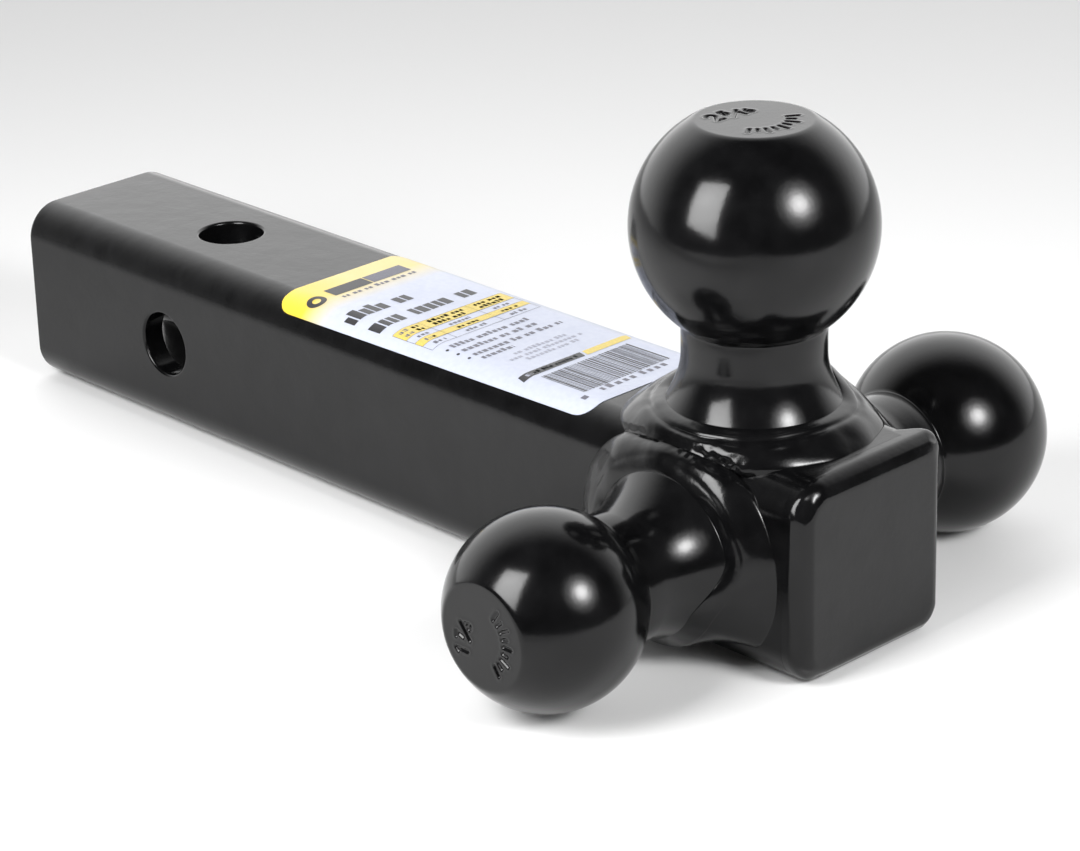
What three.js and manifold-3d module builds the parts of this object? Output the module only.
// Three-ball trailer hitch mount: a square shank that slides into a 2 inch receiver, closed by a
// welded cap at its front end, with three hitch balls of different sizes welded to its top and sides.
//
// Frame, in millimetres: +X runs along the shank to its capped front end, +Y to the side with the
// 2 inch ball, +Z up. The origin is on the shank's underside, straight below the top ball.

import * as THREE from 'three';
import { mergeVertices } from 'three/addons/utils/BufferGeometryUtils.js';
import Module from 'manifold-3d';

const wasm = await Module();
wasm.setup();

// ---- driving dimensions ----
const INCH = 25.4;

const SHANK_WIDTH = 2 * INCH;
const SHANK_WALL = 0.25 * INCH;
const SHANK_CORNER = 9.5;
const SHANK_REAR = -253;
const SHANK_FRONT = 38;
const AXIS_HEIGHT = SHANK_WIDTH / 2;

const CAP_THICKNESS = 6;
const CAP_EDGE = 5;
// The corner radii of the cap's weld, anticlockwise from the +Y +Z corner: weld built up at the two
// +Y corners leaves them tighter than the tube's.
const CAP_WELD_CORNERS = [3.6, SHANK_CORNER, SHANK_CORNER, 5];

const PIN_HOLE_RADIUS = (11 / 16) * INCH / 2;
const PIN_HOLE_X = -194;
const PIN_HOLE_RIM = 0.55;

const GAP = 0.3;

// Each ball: its radius, the height of its centre above the shank's axis, the height of the flat
// on its crown, and the radius of the neck where it meets the ball.
const BALLS = {
  top: { radius: (2 + 5 / 16) * INCH / 2, centre: 74.1, crown: 99.75, neck: 17.35 },
  small: { radius: (1 + 7 / 8) * INCH / 2, centre: 69.7, crown: 89.65, neck: 16.0 },
  medium: { radius: 2 * INCH / 2, centre: 70.9, crown: 92.45, neck: 16.4 },
};
const NECK_FOOT_RADIUS = 21.2;
const NECK_FLARE_LOW = 31.6;
const NECK_FLARE_HIGH = 43.5;

// Two runs of weld go round each foot, one outside the other. The outer run is drawn in where the
// shank's face rounds away beneath it.
const WELD_TOP = 31.4;
const WELD_TOE = { radius: 30.4, height: SHANK_WIDTH / 2 + 0.3 };
const RUN_SPLIT = { radius: 25.2, height: 28.9 };
const RUN_BULGE = { upper: 0.7, lower: 0.9 };
const RUN_UNDERCUT = 1.2;
const BELOW_CORNER = 18;
const TOE_ON_OPEN_SIDE = 23.3;

const LABEL_REAR = -147.3;
const LABEL_FRONT = -33.8;
const LABEL_RIGHT = -24.1;
const LABEL_LEFT = 21.4;
const LABEL_SKEW = 0.013;
const LABEL_CORNER = 4.6;
const LABEL_LIFT = 0.1;
const LABEL_THICKNESS = 0.2;

// How finely the curved shapes are divided.
const BALL_SEGMENTS = 48;
const BALL_ARC_STEPS = 13;
const FLARE_STEPS = 6;
const WELD_SEGMENTS = 48;
const RUN_STEPS = 4;
const CORNER_STEPS = 6;
const CAP_EDGE_STEPS = 5;
const PIN_HOLE_SEGMENTS = 32;
const LABEL_STRIPS = 40;

// ---- materials ----
const powderCoat = () => new THREE.MeshStandardMaterial({ color: 0x0c0c0d, roughness: 0.16, metalness: 0 });
const weldCoat = () => new THREE.MeshStandardMaterial({ color: 0x101011, roughness: 0.22, metalness: 0 });
const labelFilm = () => new THREE.MeshStandardMaterial({ color: 0xe9e4f2, roughness: 0.45, metalness: 0 });

// ---- solids and booleans ----
function toSolid(geometry) {
  const plain = geometry.clone();
  plain.deleteAttribute('normal');
  plain.deleteAttribute('uv');
  const merged = mergeVertices(plain, 1e-4);
  return new wasm.Manifold(new wasm.Mesh({
    numProp: 3,
    vertProperties: new Float32Array(merged.attributes.position.array),
    triVerts: new Uint32Array(merged.index.array),
  }));
}

function toGeometry(solid) {
  const mesh = solid.getMesh();
  const geometry = new THREE.BufferGeometry();
  geometry.setAttribute('position', new THREE.BufferAttribute(new Float32Array(mesh.vertProperties), 3));
  geometry.setIndex(new THREE.BufferAttribute(new Uint32Array(mesh.triVerts), 1));
  geometry.computeVertexNormals();
  return geometry;
}

// A closed skin over rings of points, each ring with the same number of points. The last ring
// joins the first when the profile is closed on itself; otherwise both ends are capped with fans.
function skinRings(rings, closedProfile) {
  const count = rings[0].length;
  const positions = rings.flat().flatMap((p) => [p.x, p.y, p.z]);
  const index = [];
  const spans = closedProfile ? rings.length : rings.length - 1;
  for (let i = 0; i < spans; i += 1) {
    const here = i * count;
    const there = ((i + 1) % rings.length) * count;
    for (let j = 0; j < count; j += 1) {
      const next = (j + 1) % count;
      index.push(here + j, here + next, there + next);
      index.push(here + j, there + next, there + j);
    }
  }
  if (!closedProfile) {
    const last = (rings.length - 1) * count;
    for (let j = 1; j < count - 1; j += 1) {
      index.push(0, j + 1, j);
      index.push(last, last + j, last + j + 1);
    }
  }
  const geometry = new THREE.BufferGeometry();
  geometry.setAttribute('position', new THREE.Float32BufferAttribute(positions, 3));
  geometry.setIndex(index);
  return geometry;
}

// ---- shank ----
// The corner points of a square with rounded corners, anticlockwise about its centre. The corners
// share one radius or have one each.
function squareOutline(half, cornerRadii) {
  const points = [];
  for (let quarter = 0; quarter < 4; quarter += 1) {
    const corner = Array.isArray(cornerRadii) ? cornerRadii[quarter] : cornerRadii;
    const turn = (quarter * Math.PI) / 2;
    for (let i = 0; i <= CORNER_STEPS; i += 1) {
      const angle = ((i / CORNER_STEPS) * Math.PI) / 2;
      const along = half - corner + corner * Math.cos(angle);
      const up = half - corner + corner * Math.sin(angle);
      points.push(new THREE.Vector2(along, up).rotateAround(new THREE.Vector2(), turn));
    }
  }
  return points;
}

// A length of square bar or tube along X, centred on the shank's axis.
function squareBar(fromX, toX, half, corner, innerHalf = 0, innerCorner = 0) {
  const shape = new THREE.Shape(squareOutline(half, corner));
  if (innerHalf > 0) {
    shape.holes.push(new THREE.Path(squareOutline(innerHalf, innerCorner)));
  }
  const geometry = new THREE.ExtrudeGeometry(shape, { depth: toX - fromX, bevelEnabled: false });
  geometry.rotateY(Math.PI / 2);
  geometry.translate(fromX, 0, AXIS_HEIGHT);
  return toSolid(geometry);
}

// The drill for one pin hole, through both walls, with the rounded rim at each outer face.
function pinDrill() {
  const reach = SHANK_WIDTH / 2;
  const rim = PIN_HOLE_RADIUS + PIN_HOLE_RIM;
  const beyond = reach + 2;
  const profile = [
    new THREE.Vector2(0, -beyond),
    new THREE.Vector2(rim, -beyond),
    new THREE.Vector2(rim, -reach),
    new THREE.Vector2(PIN_HOLE_RADIUS, -reach + PIN_HOLE_RIM),
    new THREE.Vector2(PIN_HOLE_RADIUS, reach - PIN_HOLE_RIM),
    new THREE.Vector2(rim, reach),
    new THREE.Vector2(rim, beyond),
    new THREE.Vector2(0, beyond),
  ];
  return new THREE.LatheGeometry(profile, PIN_HOLE_SEGMENTS);
}

function shankTube() {
  const half = SHANK_WIDTH / 2;
  const inner = half - SHANK_WALL;
  const endX = SHANK_FRONT - CAP_THICKNESS - GAP;
  const tube = squareBar(SHANK_REAR, endX, half, SHANK_CORNER, inner, SHANK_CORNER - SHANK_WALL);
  const across = pinDrill();
  across.translate(PIN_HOLE_X, 0, AXIS_HEIGHT);
  const upright = pinDrill();
  upright.rotateX(Math.PI / 2);
  upright.translate(PIN_HOLE_X, 0, AXIS_HEIGHT);
  return toGeometry(tube.subtract(toSolid(across)).subtract(toSolid(upright)));
}

// ---- end cap and its weld ----
function endCap() {
  const inset = CAP_EDGE + GAP;
  const half = SHANK_WIDTH / 2 - inset;
  return toGeometry(squareBar(SHANK_FRONT - CAP_THICKNESS, SHANK_FRONT, half, SHANK_CORNER - inset));
}

// The weld fills the step between the cap's edge and the tube and is ground to a round edge.
function endCapWeld() {
  const half = SHANK_WIDTH / 2;
  const startX = SHANK_FRONT - CAP_THICKNESS;
  const roundX = SHANK_FRONT - CAP_EDGE;
  const capCorner = SHANK_CORNER - CAP_EDGE;
  const cornersAt = (inset) => CAP_WELD_CORNERS
    .map((corner) => corner + (capCorner - corner) * (inset / CAP_EDGE));
  const section = [
    { x: startX, inset: CAP_EDGE, corners: capCorner },
    { x: startX, inset: 0, corners: SHANK_CORNER },
  ];
  for (let i = 0; i <= CAP_EDGE_STEPS; i += 1) {
    const angle = (i / CAP_EDGE_STEPS) * (Math.PI / 2);
    const inset = CAP_EDGE * (1 - Math.cos(angle));
    section.push({ x: roundX + CAP_EDGE * Math.sin(angle), inset, corners: cornersAt(inset) });
  }
  const rings = section.map(({ x, inset, corners }) => squareOutline(half - inset, corners)
    .map((p) => new THREE.Vector3(x, p.x, AXIS_HEIGHT + p.y)));
  return toGeometry(toSolid(skinRings(rings, true)));
}

// ---- balls ----
// The forging as a profile of radius against height above the shank's axis: a foot that sits on the
// shank, a hollow flare, a plain barrel under the ball, then the ball up to its flat crown.
function ballProfile({ radius, centre, crown, neck }) {
  const foot = SHANK_WIDTH / 2 + GAP;
  const meets = centre - Math.sqrt(radius ** 2 - neck ** 2);
  const points = [[0, foot], [NECK_FOOT_RADIUS, foot]];
  for (let i = 0; i <= FLARE_STEPS; i += 1) {
    const t = i / FLARE_STEPS;
    const height = NECK_FLARE_LOW + (NECK_FLARE_HIGH - NECK_FLARE_LOW) * t;
    points.push([neck + (NECK_FOOT_RADIUS - neck) * (1 - t) ** 2, height]);
  }
  const start = Math.asin((meets - centre) / radius);
  const end = Math.asin((crown - centre) / radius);
  for (let i = 0; i <= BALL_ARC_STEPS; i += 1) {
    const angle = start + ((end - start) * i) / BALL_ARC_STEPS;
    points.push([radius * Math.cos(angle), centre + radius * Math.sin(angle)]);
  }
  points.push([0, crown]);
  return points.map(([r, h]) => new THREE.Vector2(r, h));
}

// A turned solid about the Z axis.
function turned(profile, segments) {
  const geometry = new THREE.LatheGeometry(profile, segments);
  geometry.rotateX(Math.PI / 2);
  return toSolid(geometry);
}

function ballForging(size) {
  return toGeometry(turned(ballProfile(size), BALL_SEGMENTS));
}

// ---- ball welds ----
// A rounded line of weld between two places, each a radius and a height above the shank's axis.
function bulge(from, to, height) {
  const points = [];
  const length = Math.hypot(to.radius - from.radius, to.height - from.height);
  const out = {
    radius: (from.height - to.height) / length,
    height: (to.radius - from.radius) / length,
  };
  for (let i = 0; i <= RUN_STEPS; i += 1) {
    const t = i / RUN_STEPS;
    const rise = height * Math.sin(Math.PI * t);
    points.push([
      from.radius + (to.radius - from.radius) * t + out.radius * rise,
      from.height + (to.height - from.height) * t + out.height * rise,
    ]);
  }
  return points;
}

const WELD_INNER = NECK_FOOT_RADIUS + GAP;

const UPPER_RUN = [
  [WELD_INNER, BELOW_CORNER],
  ...bulge({ radius: WELD_INNER, height: WELD_TOP }, RUN_SPLIT, RUN_BULGE.upper),
  [RUN_SPLIT.radius - RUN_UNDERCUT, BELOW_CORNER],
];

const LOWER_RUN = [
  [RUN_SPLIT.radius - RUN_UNDERCUT + GAP, BELOW_CORNER],
  ...bulge({ radius: RUN_SPLIT.radius + GAP, height: RUN_SPLIT.height - GAP }, WELD_TOE, RUN_BULGE.lower),
  [WELD_TOE.radius, BELOW_CORNER],
];

// A large block on the far side of a plane, used to trim a weld where it meets its neighbour.
function blockBeyond(normal, distance) {
  const size = 300;
  const block = new THREE.BoxGeometry(size, size, size);
  block.translate(0, 0, size / 2 + distance);
  const turn = new THREE.Quaternion().setFromUnitVectors(new THREE.Vector3(0, 0, 1), normal);
  block.applyQuaternion(turn);
  return toSolid(block);
}

// How much of a weld's full spread beyond the foot it has at an angle round the ball's axis: on the
// open side its toe runs straight along the shank instead of round the foot.
function spreadAt(angle, openSide) {
  const across = Math.sin(angle) * openSide;
  if (across <= 0) {
    return 1;
  }
  return Math.min(1, (TOE_ON_OPEN_SIDE / across - WELD_INNER) / (WELD_TOE.radius - WELD_INNER));
}

// One run of weld round a ball's foot, in the ball's own frame: its axis along +Z from the shank's
// axis, the shank along X. It follows the shank's rounded corners and stops at the mitre with the
// weld on the next face. The open side is the side of Y without a next weld, or 0.
function weldRun(section, openSide) {
  const rings = [];
  for (let i = 0; i < WELD_SEGMENTS; i += 1) {
    const angle = (i / WELD_SEGMENTS) * 2 * Math.PI;
    const spread = spreadAt(angle, openSide);
    rings.push(section.map(([radius, height]) => {
      const reach = WELD_INNER + (radius - WELD_INNER) * spread;
      return new THREE.Vector3(reach * Math.cos(angle), reach * Math.sin(angle), height);
    }));
  }
  const half = SHANK_WIDTH / 2 + GAP;
  const shank = squareBar(-SHANK_WIDTH, SHANK_WIDTH, half, SHANK_CORNER + GAP).translate(0, 0, -AXIS_HEIGHT);
  let run = toSolid(skinRings(rings, true)).subtract(shank);
  for (const side of [-1, 1]) {
    if (side !== openSide) {
      run = run.subtract(blockBeyond(new THREE.Vector3(0, side, -1).normalize(), -GAP / 2));
    }
  }
  return toGeometry(run);
}

// ---- label ----
// A thin film over the shank's top face that runs down round both corners. It is laid out flat
// across its width, then bent; its own corners are rounded.
function labelPoint(across, lift) {
  const flat = SHANK_WIDTH / 2 - SHANK_CORNER;
  const side = Math.sign(across);
  const past = Math.abs(across) - flat;
  const height = AXIS_HEIGHT + flat;
  if (past <= 0) {
    return [across, height + SHANK_CORNER + lift];
  }
  const angle = past / SHANK_CORNER;
  const radius = SHANK_CORNER + lift;
  return [side * (flat + radius * Math.sin(angle)), height + radius * Math.cos(angle)];
}

function labelFilmGeometry() {
  const middle = (LABEL_REAR + LABEL_FRONT) / 2;
  const rings = [];
  for (let i = 0; i <= LABEL_STRIPS; i += 1) {
    const place = LABEL_RIGHT + ((LABEL_LEFT - LABEL_RIGHT) * i) / LABEL_STRIPS;
    const edge = Math.min(place - LABEL_RIGHT, LABEL_LEFT - place);
    const past = Math.max(0, LABEL_CORNER - edge);
    const inset = LABEL_CORNER - Math.sqrt(Math.max(0, LABEL_CORNER ** 2 - past ** 2));
    const rear = LABEL_REAR + inset;
    const front = LABEL_FRONT - inset;
    const ring = [[rear, 0], [rear, 1], [front, 1], [front, 0]].map(([x, top]) => {
      const lift = LABEL_LIFT + top * LABEL_THICKNESS;
      const [y, z] = labelPoint(place + LABEL_SKEW * (x - middle), lift);
      return new THREE.Vector3(x, y, z);
    });
    rings.push(ring);
  }
  return toGeometry(toSolid(skinRings(rings, false)));
}

// ---- assembly ----
function piece(name, geometry, material) {
  const mesh = new THREE.Mesh(geometry, material);
  mesh.name = name;
  return mesh;
}

const hitch = new THREE.Group();
hitch.add(piece('shank_tube', shankTube(), powderCoat()));
hitch.add(piece('end_cap', endCap(), powderCoat()));
hitch.add(piece('end_cap_weld', endCapWeld(), weldCoat()));
hitch.add(piece('label', labelFilmGeometry(), labelFilm()));

// The ball's axis is turned from upright to the shank's sides about X. The open side is the side of
// Y, in the ball's own frame, where no other ball's weld meets its weld.
const PLACES = {
  top: { turn: 0, openSide: 0 },
  small: { turn: Math.PI / 2, openSide: -1 },
  medium: { turn: -Math.PI / 2, openSide: 1 },
};

for (const [size, { turn, openSide }] of Object.entries(PLACES)) {
  const mount = new THREE.Group();
  mount.position.z = AXIS_HEIGHT;
  mount.rotation.x = turn;
  mount.add(piece(`${size}_ball`, ballForging(BALLS[size]), powderCoat()));
  mount.add(piece(`${size}_ball_weld_upper_run`, weldRun(UPPER_RUN, openSide), weldCoat()));
  mount.add(piece(`${size}_ball_weld_lower_run`, weldRun(LOWER_RUN, openSide), weldCoat()));
  hitch.add(mount);
}

export default hitch;
